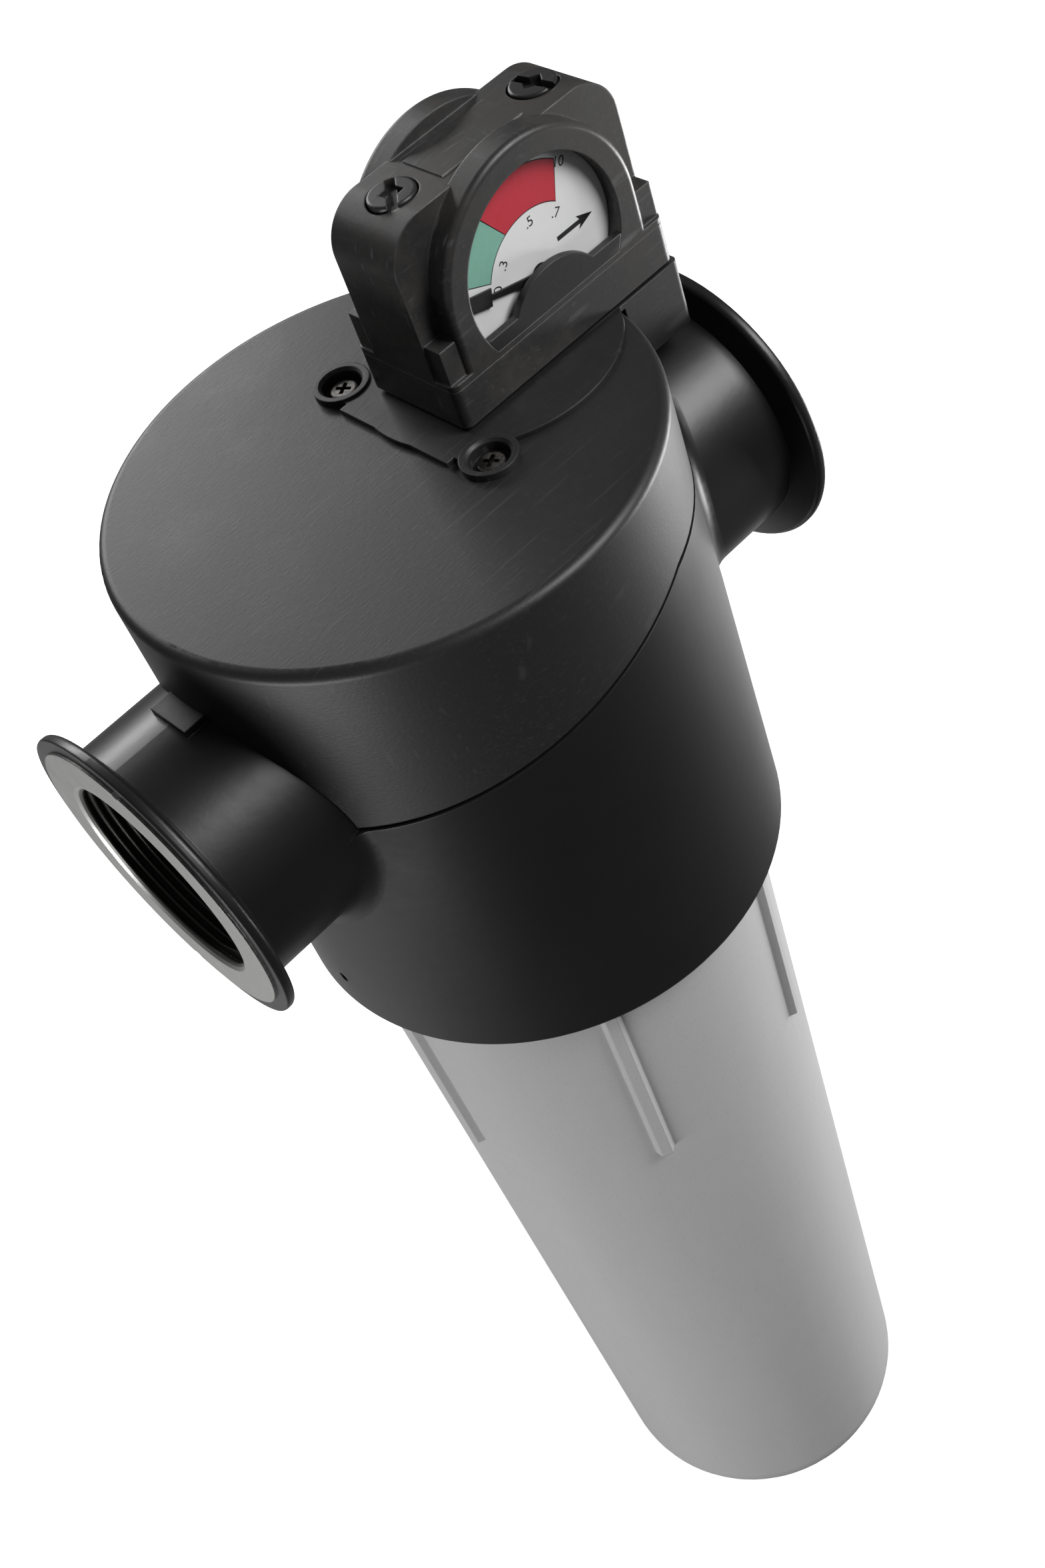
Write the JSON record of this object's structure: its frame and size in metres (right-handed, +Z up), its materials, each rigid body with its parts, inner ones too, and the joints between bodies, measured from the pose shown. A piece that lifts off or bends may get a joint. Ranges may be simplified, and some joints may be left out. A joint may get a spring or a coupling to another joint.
{
  "type": "compressed air filter",
  "caption": "In-line compressed air filter: ported head with nylon cap, differential pressure gauge, long bayonet bowl, pleated element and float drain.",
  "frame": {"origin": "on the port axis at the first thread crest of the inlet port", "axes": "+X along the air flow from inlet to outlet, -X out of the inlet port, +Z up along the bowl's axis"},
  "size_m": [0.199, 0.144, 0.6102],
  "materials": {
    "head_paint": "satin black paint over a cast skin, bare metal on the port faces",
    "cap_nylon": "matt moulded nylon with glass fibre",
    "base_nylon": "matt moulded nylon",
    "gauge_nylon": "matt moulded nylon with glass fibre",
    "cover_plastic": "matt moulded plastic",
    "screw_nylon": "matt moulded nylon",
    "screw_steel": "plated steel",
    "seal_rubber": "smooth black rubber",
    "dial_print": "printed white card with a green and a red arc",
    "window_clear": "clear polished plastic",
    "needle_black": "matt black",
    "pivot_steel": "ground steel",
    "magnet_ferrite": "dull sintered",
    "spring_steel": "drawn wire",
    "piston_metal": "turned",
    "tube_brass": "drawn",
    "element_cap_plastic": "moulded",
    "core_steel": "perforated sheet",
    "media_paper": "pleated fibre sheet",
    "foam_cloth": "soft foam",
    "rod_steel": "plated",
    "bowl_paint": "pale grey satin coat",
    "drain_brass": "turned",
    "cage_plastic": "moulded",
    "float_plastic": "moulded",
    "knob_plastic": "moulded"
  },
  "bodies": {
    "filter_head": {"head_body": "head_paint", "flow_elbow": "head_paint", "top_cap": "cap_nylon", "gauge_base": "base_nylon", "plate_screws": "screw_steel", "base_gasket": "seal_rubber", "gauge_lower_body": "gauge_nylon", "gauge_upper_body": "gauge_nylon", "chamber_seal": "seal_rubber", "front_dial": "dial_print", "rear_dial": "dial_print", "front_cover": "cover_plastic", "rear_cover": "cover_plastic", "front_window": "window_clear", "rear_window": "window_clear", "front_pivot": "pivot_steel", "rear_pivot": "pivot_steel", "gauge_screws": "screw_nylon", "gauge_spring": "spring_steel", "inlet_sense_tube": "tube_brass", "outlet_sense_tube": "tube_brass", "sense_orings": "seal_rubber", "spigot_oring": "seal_rubber", "element_top_cap": "element_cap_plastic", "element_inner_core": "core_steel", "filter_media": "media_paper", "element_outer_core": "core_steel", "foam_sleeve": "foam_cloth", "element_bottom_cap": "element_cap_plastic", "tie_rod": "rod_steel", "nut_washer": "rod_steel", "element_nut": "rod_steel"},
    "bowl_unit": {"bowl": "bowl_paint", "bowl_oring": "seal_rubber", "drain_body": "drain_brass", "drain_seal": "seal_rubber", "knob_oring": "seal_rubber", "drain_nut": "drain_brass", "drain_cage": "cage_plastic", "valve_seat": "drain_brass"},
    "float_unit": {"float": "float_plastic", "float_stem": "rod_steel", "valve_tip": "seal_rubber"},
    "knob_unit": {"drain_knob": "knob_plastic"},
    "piston_unit": {"gauge_piston": "piston_metal", "gauge_magnet": "magnet_ferrite"},
    "front_needle_unit": {"front_needle": "needle_black", "front_follower": "magnet_ferrite"},
    "rear_needle_unit": {"rear_needle": "needle_black", "rear_follower": "magnet_ferrite"}
  },
  "joints": [
    {"name": "bowl_turn", "type": "hinge", "parent": "filter_head", "child": "bowl_unit", "pos_m": [0.0983, 0, -0.08], "axis": [0, 0, 1], "range_deg": [0, 45]},
    {"name": "float_rise", "type": "slide", "parent": "bowl_unit", "child": "float_unit", "axis": [0, 0, 1], "range_m": [0, 0.006]},
    {"name": "drain_turn", "type": "hinge", "parent": "bowl_unit", "child": "knob_unit", "pos_m": [0.0983, 0, -0.476], "axis": [0, 0, 1], "range_deg": [0, 90]},
    {"name": "piston_rise", "type": "slide", "parent": "filter_head", "child": "piston_unit", "axis": [0, 0, 1], "range_m": [0, 0.005], "stiffness_N_per_m": 1700, "springref_m": -0.0008, "deforming": ["gauge_spring"]},
    {"name": "front_needle_turn", "type": "hinge", "parent": "filter_head", "child": "front_needle_unit", "pos_m": [0.1499, -0.014, 0.079], "axis": [0, 1, 0], "range_deg": [0, 105.5]},
    {"name": "rear_needle_turn", "type": "hinge", "parent": "filter_head", "child": "rear_needle_unit", "pos_m": [0.1499, 0.014, 0.079], "axis": [0, -1, 0], "range_deg": [0, 105.5]}
  ],
  "couplings": [
    {"joint": "front_needle_turn", "follows": "piston_rise", "rad_per_m": 368},
    {"joint": "rear_needle_turn", "follows": "piston_rise", "rad_per_m": 368}
  ]
}
